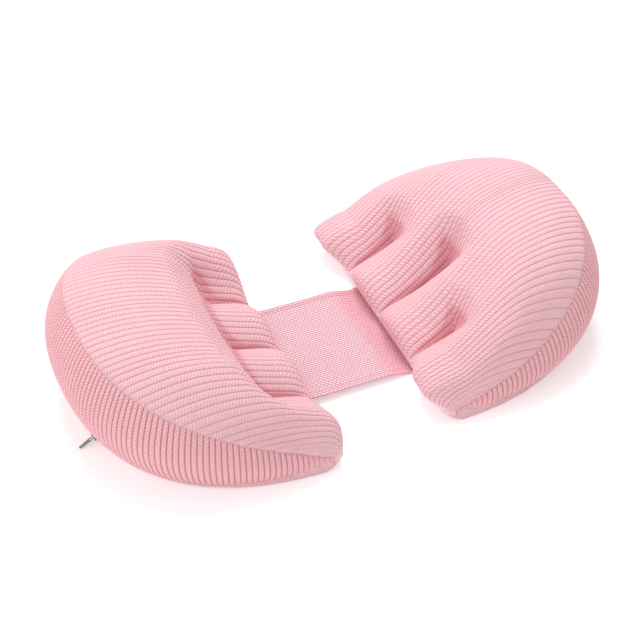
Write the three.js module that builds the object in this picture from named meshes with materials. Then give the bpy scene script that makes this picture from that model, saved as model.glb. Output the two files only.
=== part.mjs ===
// A pregnancy pillow: two half-moon wedge cushions of ribbed knit, joined by a flat ribbed link panel.
//
// Frame: millimetres, +Z up. X runs from the back cushion (-X) to the belly cushion (+X), the origin
// lies on the resting surface at the middle of the footprint, and the near side is -Y.
//
// Each cushion has a straight, thin edge that faces the other one and a high, curved edge. Three sewn
// channels run in from the straight edge and end in dimples, so that four finger lobes rise to the dome.
// A tall gusset runs round the curved edge and narrows to a point at both tips.
//
// A cushion is worked out in its own plan: p is the distance from its straight edge, q the distance
// along that edge and z the height. It is lofted from closed sections, one for each step along q.

import * as THREE from 'three';

// Placing, in mm
const HALF_GAP = 69.2; // middle of the pillow to each straight edge
const FOOTPRINT_SHIFT = { x: -0.35, y: -4.6 }; // brings the origin to the middle of the footprint
const FIT_GAP = 0.3; // clearance between pieces that touch

// Cushion pattern, shared by both cushions, in mm
const DEPTH = 247.9; // straight edge to the curved edge
const ROUNDNESS = 2.413; // power of the curved edge: 2 is an ellipse, more is squarer
const BASE_SEAM = 11; // height of the lower seam
const EDGE_SEAM = 12; // height of the straight edge's seam
const GUSSET_TIP = 14; // height from which the gusset rises to the middle and closes at the tips
const POINT = 3; // height to which it closes
const POINT_SHARE = 0.2; // share of the depth over which it does
const GUSSET_LEAN = 0.012; // how far the gusset leans in, for each mm of its height
const GUSSET_BULGE = 0.198; // how far it swells out, for each mm of its height
const TIP_ROUND = 24; // length over which the top falls to both tips
const SWELL_FADE = 26; // length over which the swelling over the straight seam fades to them
const FOOT_ROUND = 18; // width of the rounded foot round the flat base
const CHANNEL_PITCH = 92.8; // from one sewn channel to the next
const CHANNEL_POWER = 1.435; // 1 for straight channel sides, more for rounder lobes between them
const FLOOR_START = 7; // height of a channel's floor over the straight seam
const FLOOR_SLOPE = 0.3; // rise of that floor for each mm of p

// Ribs of the knit, raised on the cover, in mm
const RIB_DEPTH = 1.2;

// Each cushion's own form. Lengths in mm, turn in degrees, and shares of a section for the flank:
// turn and shift: how it lies; length: tip to tip; gusset: height of its curved side at the middle, with
// the power and skew of that height towards the tips; lobe and lobeSlope: height of the finger lobes and
// their rise; wingLobe: that height beyond the outer channels, as a share; flankStart and flankEnd: where
// the cover climbs from the lobes to the dome, with wingEnd beyond the channels; flankMix and flankPower:
// how steeply it leaves the lobes; wingFar, wingNear and wingBlend: where the wings start along the edge;
// dome, domePower, domeBlend and domeSkew: height of the dome's inner side, its fall towards the tips, how
// it runs on to the rim and how much higher it is at the far tip; crown and crownPower: how far the dome
// swells; channels: their lengths from -q to +q; channelReach and channelEnd: half the width that a channel
// draws in, and how much steeper its dimple is; frontBulge and wingBulge: how far the lobes and the wings
// swell over the straight seam; edgeRound and rimRound: lengths of the rounded rise and fall at both seams;
// rimRise: how far the dome stands over the upper seam; cornerFar and cornerNear: radii of the two corners.
const CUSHIONS = {
  back: {
    side: -1, turn: 0, shift: 0, length: 391.4, gusset: 127.4, gussetPower: 1, gussetSkew: 0.117,
    lobe: 28.8, lobeSlope: 0.34, wingLobe: 1.45, flankStart: 0.29, flankEnd: 0.475, wingEnd: 0.44,
    flankMix: 1, flankPower: 0.9, wingFar: 102, wingNear: 122, wingBlend: 62, dome: 103,
    domePower: 1.365, domeBlend: 0.334, domeSkew: -0.047, crown: 14.8, crownPower: 0.825,
    channels: [65, 61.5, 55.6], channelReach: 43.1, channelEnd: 2.6, wingBulge: 8, frontBulge: 6.9,
    edgeRound: 31, rimRound: 74, rimRise: 8.2, cornerFar: 40, cornerNear: 16,
  },
  belly: {
    side: 1, turn: -1.9, shift: 13, length: 391.4, gusset: 130.6, gussetPower: 1.5, gussetSkew: 0.022,
    lobe: 27, lobeSlope: 0.36, wingLobe: 1, flankStart: 0.085, flankEnd: 0.606, wingEnd: 0.66,
    flankMix: 0.42, flankPower: 0.87, wingFar: 86, wingNear: 92, wingBlend: 53, dome: 86,
    domePower: 1.04, domeBlend: 0.844, domeSkew: 0.058, crown: 22.5, crownPower: 0.816,
    channels: [57.6, 94.7, 62.2], channelReach: 44.6, channelEnd: 1.98, wingBulge: 25, frontBulge: 8.7,
    edgeRound: 28.7, rimRound: 63, rimRise: 10.7, cornerFar: 34, cornerNear: 12,
  },
};

// Link panel, in mm
const PANEL = { width: 175, thick: 2.4, hem: 9, hemThick: 1.2, tuck: 50, hang: 6.2, slope: 34 };

// Zip slider and puller, in mm: they sit at the lower seam of the back cushion's curved edge
const SLIDER = { long: 9, wide: 6, high: 3.4, spot: -0.215 };
const PULLER = { long: 19, wide: 5, thick: 1.2, eye: 1.5, drop: 24 };

// Mesh steps
const STEPS = { rows: 116, top: 18, gusset: 5, base: 7 };

// Materials, from the photo
const ribbedKnit = new THREE.MeshStandardMaterial({ color: 0xf0b4bc, roughness: 0.92, metalness: 0 });
const panelKnit = new THREE.MeshStandardMaterial({ color: 0xf2b0bb, roughness: 0.92, metalness: 0 });
const zipMetal = new THREE.MeshStandardMaterial({ color: 0x8d8f92, roughness: 0.35, metalness: 0.9 });

const clamp = (value) => Math.min(1, Math.max(0, value));

/** Eased step from 0 at a to 1 at b. */
function ease(a, b, x) {
  const t = clamp((x - a) / (b - a));
  return t * t * (3 - 2 * t);
}

/** Radius of the corner between the straight edge and the tip on this side of the middle. */
const cornerAt = (form, q) => (q > 0 ? form.cornerFar : form.cornerNear);

/** How far the gusset's two seams have closed at a place of the curved edge: 0 but for 1 at the tips. */
function closing(form, p, q) {
  const corner = cornerAt(form, q);
  return 1 - ease(0, POINT_SHARE, (p - corner) / (DEPTH - corner));
}

/** Lower seam at an angle round the curved edge, from -90 degrees at one tip to 90 at the other. */
function rimPoint(form, angle) {
  const across = Math.pow(Math.max(0, Math.cos(angle)), 2 / ROUNDNESS);
  const along = Math.sign(Math.sin(angle)) * Math.pow(Math.abs(Math.sin(angle)), 2 / ROUNDNESS);
  const q = along * form.length / 2;
  const corner = cornerAt(form, q);
  const p = corner + (DEPTH - corner) * across;
  return new THREE.Vector3(p, q, BASE_SEAM + 0.5 * (GUSSET_TIP - POINT) * closing(form, p, q));
}

/** Direction that points out of the curved edge, flat in plan. */
function rimOutward(form, angle) {
  const step = 0.004;
  const ahead = rimPoint(form, Math.min(Math.PI / 2, angle + step));
  const behind = rimPoint(form, Math.max(-Math.PI / 2, angle - step));
  const run = ahead.sub(behind).setZ(0).normalize();
  return new THREE.Vector3(run.y, -run.x, 0);
}

/** Height of the gusset at a point of the lower seam. */
function gussetHeight(form, rim) {
  const corner = cornerAt(form, rim.y);
  const share = clamp((rim.x - corner) / (DEPTH - corner));
  const open = GUSSET_TIP + (form.gusset - GUSSET_TIP) * Math.pow(share, form.gussetPower);
  const plain = open - (GUSSET_TIP - POINT) * closing(form, rim.x, rim.y);
  return plain * (1 + form.gussetSkew * rim.y / (form.length / 2));
}

/** Gusset point: s is 0 at the lower seam and 1 at the upper one. */
function gussetPoint(form, angle, s) {
  const rim = rimPoint(form, angle);
  const high = gussetHeight(form, rim);
  const swell = GUSSET_BULGE * Math.pow(Math.sin(Math.PI * s), 0.9);
  const out = (s > 0 && s < 1 ? swell : 0) * high - GUSSET_LEAN * high * Math.pow(s, 1.5);
  const point = rim.addScaledVector(rimOutward(form, angle), out);
  point.z += high * s;
  return point;
}

/** Angle round the curved edge whose upper seam lies at this share of the length, by halving. */
function angleAtSpan(form, span) {
  const end = gussetPoint(form, Math.PI / 2, 1).y;
  let low = -Math.PI / 2;
  let high = Math.PI / 2;
  for (let i = 0; i < 40; i += 1) {
    const middle = (low + high) / 2;
    if (gussetPoint(form, middle, 1).y < span * end) low = middle;
    else high = middle;
  }
  return (low + high) / 2;
}

/** Straight edge: it lies at p = 0 but for the rounded corners at the tips. */
function edgePoint(form, span) {
  const half = form.length / 2;
  const corner = cornerAt(form, span);
  const x = clamp((Math.abs(span) * half - (half - corner)) / corner);
  return new THREE.Vector3(corner * (1 - Math.sqrt(1 - x * x)), span * half, EDGE_SEAM);
}

/** How strongly the nearest channel draws the cover in, from 0 to 1, at d mm from the straight edge. */
function channelPull(form, d, q) {
  let pull = 0;
  form.channels.forEach((long, i) => {
    const beyond = Math.max(0, d - long) * form.channelEnd;
    const away = Math.hypot(q - (i - 1) * CHANNEL_PITCH, beyond);
    const x = clamp(1 - away / form.channelReach);
    pull = Math.max(pull, 1 - Math.pow(1 - Math.pow(x, CHANNEL_POWER), 1 / CHANNEL_POWER));
  });
  return pull;
}

/** Share of a wing at this place along the edge: 0 between the outer channels, 1 near a tip. */
function wingShare(form, q) {
  return ease(form.wingFar, form.wingFar + form.wingBlend, q)
    + ease(form.wingNear, form.wingNear + form.wingBlend, -q);
}

/** Height of the top at t, where it climbs from the lobes to the dome between two shares of a section. */
function climbedHeight(form, t, heights, start, stop) {
  const u = clamp((t - start) / (1 - start));
  const blend = form.domeBlend * ease(0, 1, u) + (1 - form.domeBlend) * u;
  const arch = Math.pow(Math.max(0, Math.sin(Math.PI * Math.pow(u, form.crownPower))), 1.2);
  const dome = heights.crest + (heights.end - heights.crest) * blend + heights.crown * arch;
  const climb = clamp((t - start) / (stop - start));
  const steep = Math.pow(Math.sin(climb * Math.PI / 2), form.flankPower);
  const mixed = THREE.MathUtils.lerp(ease(0, 1, climb), steep, form.flankMix);
  return heights.low + Math.max(0, dome - heights.low) * mixed;
}

/** Top panel: t is 0 at the straight edge and 1 at the upper seam. */
function topPoint(form, row, t) {
  const edge = edgePoint(form, row.span);
  const seam = gussetPoint(form, row.angle, 1);
  const long = Math.max(1, seam.x - edge.x);
  const d = t * long;
  const q = THREE.MathUtils.lerp(edge.y, seam.y, t);
  const share = clamp(long / (DEPTH * 0.9));
  const wing = wingShare(form, q);
  const lobe = form.lobe * THREE.MathUtils.lerp(1, form.wingLobe, wing) * ease(0, 0.13, share);
  const full = Math.pow(share, form.domePower);
  const front = clamp(d / Math.min(form.edgeRound, 0.5 * long));
  const rise = Math.sqrt(1 - (1 - front) * (1 - front));
  const low = EDGE_SEAM + lobe * rise + form.lobeSlope * d * share;

  const tilt = 1 + form.domeSkew * q / (form.length / 2);
  const crest = Math.max(form.dome * full * tilt, EDGE_SEAM + lobe);
  const heights = { low, crest, end: seam.z + form.rimRise * full, crown: form.crown * full };
  const middle = climbedHeight(form, t, heights, form.flankStart, form.flankEnd);
  const outer = climbedHeight(form, t, heights, 0, form.wingEnd);
  let z = THREE.MathUtils.lerp(middle, outer, wing);

  const fall = clamp((long - d) / Math.min(form.rimRound, 0.5 * long));
  const close = 1 - Math.sqrt(1 - (1 - fall) * (1 - fall));
  z = z * (1 - close) + seam.z * close;
  const pull = channelPull(form, d, q);
  const floor = EDGE_SEAM + FLOOR_START * rise + FLOOR_SLOPE * d;
  z -= Math.max(0, z - floor) * pull;
  const chord = THREE.MathUtils.lerp(edge.z, seam.z, t);
  const past = clamp((Math.abs(row.span) * form.length / 2 - form.length / 2 + TIP_ROUND) / TIP_ROUND);
  z = chord + (z - chord) * Math.sqrt(1 - past * past);

  const bulge = THREE.MathUtils.lerp(form.frontBulge, form.wingBulge, wing);
  const fade = ease(0, 0.13, share) * ease(0, SWELL_FADE, form.length / 2 - Math.abs(q));
  const swell = bulge * Math.sin(Math.PI * Math.pow(front, 0.6)) * (1 - pull) * fade;
  return new THREE.Vector3(edge.x + d - swell, q, z);
}

/** Underside: b is 0 at the lower seam and 1 at the straight edge. Away from both it is flat. */
function basePoint(form, row, b) {
  const rim = gussetPoint(form, row.angle, 0);
  const edge = edgePoint(form, row.span);
  const long = rim.distanceTo(edge);
  const insets = [PANEL.tuck + 30, PANEL.tuck + 6, FOOT_ROUND, 0.36 * FOOT_ROUND, 0];
  const stations = [0, 0.36 * FOOT_ROUND, FOOT_ROUND, ...insets.map((inset) => long - inset)];
  const roomy = stations[2] + 6 < stations[3];
  const walked = roomy ? stations[Math.round(b * STEPS.base)] : b * long;
  const point = rim.clone().lerp(edge, walked / long);
  const fromSide = clamp(Math.min(walked, long - walked) / FOOT_ROUND);
  const seamHeight = THREE.MathUtils.lerp(rim.z, EDGE_SEAM, walked / long);
  point.z = seamHeight * (1 - fromSide) * (1 - fromSide);
  point.z = Math.max(point.z, panelLift(form, point));
  return point;
}

/** Height of the underside over the tucked end of the link panel. */
function panelLift(form, point) {
  if (form.side < 0) return 0;
  const past = ease(PANEL.tuck + 6, PANEL.tuck + 30, point.x);
  const beside = ease(PANEL.width / 2 + 8, PANEL.width / 2 + 30, Math.abs(point.y + form.shift));
  return (PANEL.thick + PANEL.hemThick + FIT_GAP) * (1 - past) * (1 - beside);
}

/** Steps along the cushion, closer towards the tips, with one step on each channel. */
function rowsOf(form) {
  const spans = [];
  for (let i = 1; i < STEPS.rows; i += 1) {
    const u = 2 * i / STEPS.rows - 1;
    spans.push(0.8 * Math.sin(u * Math.PI / 2) + 0.2 * u);
  }
  for (const channel of [-1, 0, 1]) {
    const target = channel * CHANNEL_PITCH / (form.length / 2);
    const nearest = spans.reduce((best, s, i) => (
      Math.abs(s - target) < Math.abs(spans[best] - target) ? i : best), 0);
    spans[nearest] = target;
  }
  return spans.map((span) => ({ span, angle: angleAtSpan(form, span) }));
}

/** One closed section: over the top, down the gusset and back along the underside. */
function sectionLoop(form, row) {
  const loop = [];
  for (let i = 0; i < STEPS.top; i += 1) {
    const even = i / STEPS.top;
    const t = 0.5 * even + 0.25 * (1 - Math.cos(Math.PI * even));
    loop.push(topPoint(form, row, t));
  }
  for (let i = 0; i < STEPS.gusset; i += 1) loop.push(gussetPoint(form, row.angle, 1 - i / STEPS.gusset));
  for (let i = 0; i < STEPS.base; i += 1) loop.push(basePoint(form, row, i / STEPS.base));
  return loop;
}

/** Sinks every second section of the cover by a rib's depth, but for the seams, the tips and the base. */
function raiseRibs(loops, rows) {
  const smooth = loops.map((loop) => loop.map((point) => point.clone()));
  const covered = STEPS.top + STEPS.gusset;
  for (let r = 2; r < loops.length - 2; r += 2) {
    for (let c = 1; c < covered; c += 1) {
      if (c === STEPS.top) continue;
      const along = smooth[r + 1][c].clone().sub(smooth[r - 1][c]);
      const across = smooth[r][c + 1].clone().sub(smooth[r][c - 1]);
      const outward = across.cross(along).normalize();
      loops[r][c].addScaledVector(outward, -RIB_DEPTH * ease(0.97, 0.85, Math.abs(rows[r].span)));
    }
  }
}

/** Closed surface through the loops, with a point at each end. */
function loft(loops, first, last) {
  const around = loops[0].length;
  const points = [first, ...loops.flat(), last];
  const at = (r, c) => 1 + r * around + (c % around);
  const index = [];
  for (let c = 0; c < around; c += 1) {
    index.push(0, at(0, c + 1), at(0, c));
    index.push(points.length - 1, at(loops.length - 1, c), at(loops.length - 1, c + 1));
  }
  for (let r = 0; r + 1 < loops.length; r += 1) {
    for (let c = 0; c < around; c += 1) {
      index.push(at(r, c), at(r, c + 1), at(r + 1, c));
      index.push(at(r, c + 1), at(r + 1, c + 1), at(r + 1, c));
    }
  }
  const geometry = new THREE.BufferGeometry().setFromPoints(points);
  geometry.setIndex(index);
  return geometry;
}

/** Mirrors a geometry across X and turns its faces back outwards. */
function mirrorAcrossX(geometry) {
  geometry.scale(-1, 1, 1);
  const index = geometry.getIndex();
  for (let i = 0; i < index.count; i += 3) {
    const kept = index.getX(i);
    index.setX(i, index.getX(i + 1));
    index.setX(i + 1, kept);
  }
}

/** One filled cushion, lofted in its plan and placed on its side of the link panel. */
function makeCushion(name, form) {
  const rows = rowsOf(form);
  const loops = rows.map((row) => sectionLoop(form, row));
  raiseRibs(loops, rows);
  const tipHeight = BASE_SEAM + GUSSET_TIP / 2;
  const tip = (sign) => new THREE.Vector3(cornerAt(form, sign), sign * form.length / 2, tipHeight);
  const geometry = loft(loops, tip(-1), tip(1));
  if (form.side < 0) mirrorAcrossX(geometry);
  const cushion = new THREE.Mesh(geometry, ribbedKnit);
  cushion.name = name;
  cushion.position.set(form.side * HALF_GAP, form.shift, 0);
  cushion.rotation.z = THREE.MathUtils.degToRad(form.turn);
  return cushion;
}

/** Height of the panel's underside: it hangs from the back cushion's seam, then slopes to the surface. */
function panelHeight(x) {
  const slopeEnd = HALF_GAP - 2;
  const seam = EDGE_SEAM - PANEL.thick - PANEL.hemThick - 1;
  const sag = (seam - PANEL.hang) * (1 - ease(-HALF_GAP, -HALF_GAP + 30, x));
  return (PANEL.hang + sag) * (1 - ease(slopeEnd - PANEL.slope, slopeEnd, x));
}

/** The link panel: a flat sheet with a thicker folded hem along both free edges. */
function makePanel() {
  const start = -HALF_GAP + FIT_GAP;
  const stations = [];
  for (let i = 0; i <= 8; i += 1) stations.push(start + (30 - FIT_GAP) * i / 8);
  for (let i = 1; i <= 14; i += 1) stations.push(-HALF_GAP + 30 + (2 * HALF_GAP - 30) * i / 14);
  stations.push(HALF_GAP + PANEL.tuck);
  const half = PANEL.width / 2;
  const hemEdge = half - PANEL.hem;
  const section = [
    [-half, 0], [half, 0], [half, PANEL.thick + PANEL.hemThick], [hemEdge + 1, PANEL.thick + PANEL.hemThick],
    [hemEdge, PANEL.thick], [-hemEdge, PANEL.thick], [-hemEdge - 1, PANEL.thick + PANEL.hemThick],
    [-half, PANEL.thick + PANEL.hemThick],
  ];
  const points = [];
  for (const x of stations) {
    for (const [y, z] of section) points.push(new THREE.Vector3(x, y, panelHeight(x) + z));
  }
  const around = section.length;
  const index = [];
  for (let r = 0; r + 1 < stations.length; r += 1) {
    for (let c = 0; c < around; c += 1) {
      const a = r * around + c;
      const b = r * around + (c + 1) % around;
      index.push(a, b, a + around);
      index.push(b, b + around, a + around);
    }
  }
  const capTriangles = THREE.ShapeUtils.triangulateShape(section.map(([y, z]) => new THREE.Vector2(y, z)), []);
  const lastRing = (stations.length - 1) * around;
  for (const [a, b, c] of capTriangles) {
    index.push(a, c, b);
    index.push(lastRing + a, lastRing + b, lastRing + c);
  }
  const geometry = new THREE.BufferGeometry().setFromPoints(points);
  geometry.setIndex(index);
  const panel = new THREE.Mesh(geometry, panelKnit);
  panel.name = 'link_panel';
  return panel;
}

/** Rounded metal plate with a hole at one end, lying flat from the origin along +X. */
function pullerGeometry() {
  const outline = new THREE.Shape();
  const half = PULLER.wide / 2;
  outline.moveTo(half, -half);
  outline.lineTo(PULLER.long - half, -half * 0.6);
  outline.absarc(PULLER.long - half, 0, half * 0.6, -Math.PI / 2, Math.PI / 2);
  outline.lineTo(half, half);
  outline.absarc(half, 0, half, Math.PI / 2, 3 * Math.PI / 2);
  const hole = new THREE.Path();
  hole.absarc(half, 0, PULLER.eye, 0, 2 * Math.PI);
  outline.holes.push(hole);
  return new THREE.ExtrudeGeometry(outline, { depth: PULLER.thick, bevelEnabled: false, curveSegments: 8 });
}

/** The zip's slider on the lower seam and the puller that hangs from it down to the surface. */
function makeZip() {
  const form = CUSHIONS.back;
  const angle = angleAtSpan(form, SLIDER.spot);
  const rim = rimPoint(form, angle);
  const outward = rimOutward(form, angle);
  const facing = Math.atan2(outward.y, -outward.x);
  const zip = new THREE.Group();
  zip.position.set(-HALF_GAP - rim.x, rim.y, 0);
  zip.rotation.z = facing;

  const seat = 1.6 + FIT_GAP;
  const slider = new THREE.Mesh(new THREE.BoxGeometry(SLIDER.high, SLIDER.long, SLIDER.wide), zipMetal);
  slider.name = 'zip_slider';
  slider.position.set(seat + SLIDER.high / 2, 0, BASE_SEAM - 1);

  const puller = new THREE.Mesh(pullerGeometry(), zipMetal);
  puller.name = 'zip_pull';
  puller.position.set(seat + SLIDER.high + FIT_GAP + 0.7, 0, BASE_SEAM - 3);
  puller.rotation.y = THREE.MathUtils.degToRad(PULLER.drop);
  zip.add(slider, puller);
  return zip;
}

const pillow = new THREE.Group();
pillow.position.set(FOOTPRINT_SHIFT.x, FOOTPRINT_SHIFT.y, 0);
pillow.add(makeCushion('back_cushion', CUSHIONS.back));
pillow.add(makeCushion('belly_cushion', CUSHIONS.belly));
pillow.add(makePanel());
pillow.add(makeZip());
pillow.updateMatrixWorld(true);

export default pillow;
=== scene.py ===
"""Looks of the pregnancy pillow: two ribbed half-moon cushions that face each other across a link panel.

Each cushion's cover is worked out in the cushion's own plan, in millimetres: p is the distance from its
straight edge, q the distance along that edge and z the height. The rows of its mesh follow the knit's
ribs, so the ribs are real relief. No cloth simulation runs: the crown, the swell between the seams and
the sewn channels are functions too.
"""

import logging
import math
from dataclasses import dataclass, field
from enum import Enum

import bmesh
import bpy
import numpy as np
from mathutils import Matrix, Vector

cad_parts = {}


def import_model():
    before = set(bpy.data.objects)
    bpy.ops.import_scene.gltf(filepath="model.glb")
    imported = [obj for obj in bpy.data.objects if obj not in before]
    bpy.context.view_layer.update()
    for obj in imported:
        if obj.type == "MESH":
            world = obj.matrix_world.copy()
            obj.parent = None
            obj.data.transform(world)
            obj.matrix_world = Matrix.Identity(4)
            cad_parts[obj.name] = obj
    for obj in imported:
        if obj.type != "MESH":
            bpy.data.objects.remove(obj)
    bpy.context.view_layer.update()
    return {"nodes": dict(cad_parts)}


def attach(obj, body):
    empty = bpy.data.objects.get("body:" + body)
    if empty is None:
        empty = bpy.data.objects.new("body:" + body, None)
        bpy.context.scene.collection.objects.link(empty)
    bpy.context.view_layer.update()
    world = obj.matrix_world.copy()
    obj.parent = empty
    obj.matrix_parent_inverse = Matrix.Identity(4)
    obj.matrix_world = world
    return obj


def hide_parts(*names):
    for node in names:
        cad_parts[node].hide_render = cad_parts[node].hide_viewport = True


LOG = logging.getLogger("pillow")

MM = 0.001
CM = 10.0  # in mm
HALF_GAP = 69.2  # middle of the pillow to each straight edge
FOOTPRINT_SHIFT = (-0.35, -4.6)  # brings the origin to the middle of the footprint
FIT_GAP = 0.3  # clearance between pieces that touch
WELD_DISTANCE = 1e-6  # in metres
PANEL_TUCK = 50.0  # how far the link panel runs in under the belly cushion
PANEL_HALF = 87.5
PANEL_THICK = 2.4
PANEL_HEM_THICK = 1.2
# Sizes of the measure of the creases, which sets where shade is painted into them
CREASE_REACH = (24, 8)  # rows and columns to each side of a point that are its surroundings
CREASE_DEPTH = 5.0  # how far under them a point lies to take the full painted shade
KNIT_ROUGHNESS = 0.92
KNIT_SHEEN = {"Sheen Weight": 0.2, "Sheen Roughness": 0.55, "Sheen Tint": (1.0, 0.72, 0.75, 1.0),
              "Specular IOR Level": 0.15}

Array = np.ndarray
Colour = tuple[float, float, float, float]
Point = tuple[float, float, float]


def clamp(value: Array) -> Array:
    """Return the value held between 0 and 1."""
    return np.clip(value, 0.0, 1.0)


def ease(low: float, high: float, value: Array) -> Array:
    """Eased step.

    Args:
        low: where the step starts, at 0.
        high: where it ends, at 1.
        value: where it is read.

    Returns:
        t * t * (3 - 2 * t), where t runs from 0 at low to 1 at high.
    """
    t = clamp((value - low) / (high - low))
    return t * t * (3.0 - 2.0 * t)


def quarter(share: Array) -> Array:
    """Return the height of a quarter circle, which starts upright at 0 and is level at 1."""
    return np.sqrt(1.0 - (1.0 - share) ** 2)


def spaced(count: int, weight: float) -> Array:
    """Return numbers from 0 to 1, closer together at both ends: even ones mixed with cosine ones."""
    even = np.linspace(0.0, 1.0, count)
    return (1.0 - 2.0 * weight) * even + weight * (1.0 - np.cos(math.pi * even))


def rib_places(along: Array, phase: Array) -> Array:
    """Return the UV of a grid: cm along the rib from a length in mm, and the row's rib phase."""
    return np.stack([along / CM, np.broadcast_to(phase[:, None], along.shape)], axis=-1)


def unit(vectors: Array) -> Array:
    """Return the vectors at length 1, along the last axis."""
    return vectors / np.maximum(np.linalg.norm(vectors, axis=-1, keepdims=True), 1e-9)


def grid_normals(points: Array) -> Array:
    """Unit normals of a grid of points: the cross product of its two directions.

    Args:
        points: rows x columns x 3.

    Returns:
        rows x columns x 3, pointing along (row direction) x (column direction).
    """
    along = np.gradient(points, axis=0)
    across = np.gradient(points, axis=1)
    return unit(np.cross(along, across))


class Side(Enum):
    """Side of the pillow that a cushion lies on, as the sign of its X."""

    BACK = -1
    BELLY = 1


class Patch(Enum):
    """Part of a cover that a face belongs to, as its material's slot."""

    TOP = 0
    GUSSET = 1
    BASE = 2


# Mesh making


@dataclass
class MeshMaker:
    """Gathers grids and strips of faces, and makes them one mesh."""

    points: list[Array] = field(default_factory=list)
    maps: list[Array] = field(default_factory=list)
    creases: list[Array] = field(default_factory=list)
    faces: list[Array] = field(default_factory=list)
    slots: list[Array] = field(default_factory=list)
    count: int = 0

    def add_points(self, points: Array, rib_map: Array, shade_and_stitch: Array | float = 0.0) -> Array:
        """Add points.

        Args:
            points: any shape x 3, in mm.
            rib_map: the same shape x 2, the UV of each point.
            shade_and_stitch: how much painted shade each point takes, deepest in the creases, and on the
                link panel also its stitch lines, from 0 to 1.

        Returns:
            Their index numbers, in the same shape.
        """
        shape = points.shape[:-1]
        size = int(np.prod(shape))
        self.points.append(points.reshape(size, 3))
        self.maps.append(rib_map.reshape(size, 2))
        self.creases.append(np.broadcast_to(shade_and_stitch, shape).reshape(size))
        numbers = np.arange(self.count, self.count + size).reshape(shape)
        self.count += size
        return numbers

    def add_grid(self, numbers: Array, slot: int, flip: bool = False) -> None:
        """Add the faces of a grid, split into triangles.

        Args:
            numbers: rows x columns of index numbers.
            slot: material slot.
            flip: turns the faces round.
        """
        a, b = numbers[:-1, :-1], numbers[1:, :-1]
        c, d = numbers[1:, 1:], numbers[:-1, 1:]
        quads = np.stack([a, b, c, d], axis=-1).reshape(-1, 4)
        self.add_triangles(np.concatenate([quads[:, [0, 1, 2]], quads[:, [0, 2, 3]]]), slot, flip)

    def add_triangles(self, triangles: Array, slot: int, flip: bool = False) -> None:
        """Add triangles.

        Args:
            triangles: index numbers, n x 3.
            slot: material slot.
            flip: turns the faces round.
        """
        self.faces.append(triangles[:, ::-1] if flip else triangles)
        self.slots.append(np.full(len(triangles), slot))

    def add_strip(self, left: Array, left_at: Array, right: Array, right_at: Array, slot: int,
                  flip: bool = False) -> None:
        """Close the slit between two lines of points that have different spacing.

        Both lines are walked together: each step on one line makes a triangle with the point that the
        other line has reached.

        Args:
            left: index numbers of one line.
            left_at: place of each of its points along the slit, rising.
            right: index numbers of the other line.
            right_at: place of each of its points, rising.
            slot: material slot.
            flip: turns the faces round.
        """
        reached = np.clip(np.searchsorted(right_at, left_at[1:], side="left") - 1, 0, len(right) - 1)
        on_left = np.stack([left[:-1], left[1:], right[reached]], axis=-1)
        reached = np.clip(np.searchsorted(left_at, right_at[1:], side="right") - 1, 0, len(left) - 1)
        on_right = np.stack([right[1:], right[:-1], left[reached]], axis=-1)
        self.add_triangles(np.concatenate([on_left, on_right]), slot, flip)

    def build(self, name: str, materials: list[bpy.types.Material], flip: bool = False) -> bpy.types.Object:
        """Make the object.

        Args:
            name: name of the object.
            materials: one for each slot.
            flip: turns all faces round, for a mirrored piece.

        Returns:
            The object, smooth shaded, with its UV map named rib_map, and its painted shade and stitch lines
            as an attribute.
        """
        points = np.concatenate(self.points) * MM
        faces = np.concatenate(self.faces)
        corners = faces[:, ::-1] if flip else faces
        mesh = bpy.data.meshes.new(name)
        mesh.vertices.add(len(points))
        mesh.vertices.foreach_set("co", points.ravel())
        mesh.loops.add(corners.size)
        mesh.loops.foreach_set("vertex_index", corners.ravel().astype(np.int32))
        mesh.polygons.add(len(corners))
        mesh.polygons.foreach_set("loop_start", np.arange(0, corners.size, 3, dtype=np.int32))
        for material in materials:
            mesh.materials.append(material)
        mesh.polygons.foreach_set("material_index", np.concatenate(self.slots).astype(np.int32))
        mesh.polygons.foreach_set("use_smooth", np.ones(len(corners), dtype=bool))
        layer = mesh.uv_layers.new(name="rib_map")
        layer.data.foreach_set("uv", np.concatenate(self.maps)[corners.ravel()].ravel())
        # The attribute that sets where shade is painted, and the link panel's stitch lines
        depth = mesh.attributes.new("shade_and_stitch", "FLOAT", "POINT")
        depth.data.foreach_set("value", np.concatenate(self.creases))
        mesh.update()
        mesh.validate()
        self.weld(mesh)
        piece = bpy.data.objects.new(name, mesh)
        bpy.context.collection.objects.link(piece)
        return piece

    @staticmethod
    def weld(mesh: bpy.types.Mesh) -> None:
        """Make one point of those that coincide, at poles and where two sheets meet in an edge."""
        shell = bmesh.new()
        shell.from_mesh(mesh)
        bmesh.ops.remove_doubles(shell, verts=shell.verts, dist=WELD_DISTANCE)
        shell.to_mesh(mesh)
        shell.free()


# Shaders


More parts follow.
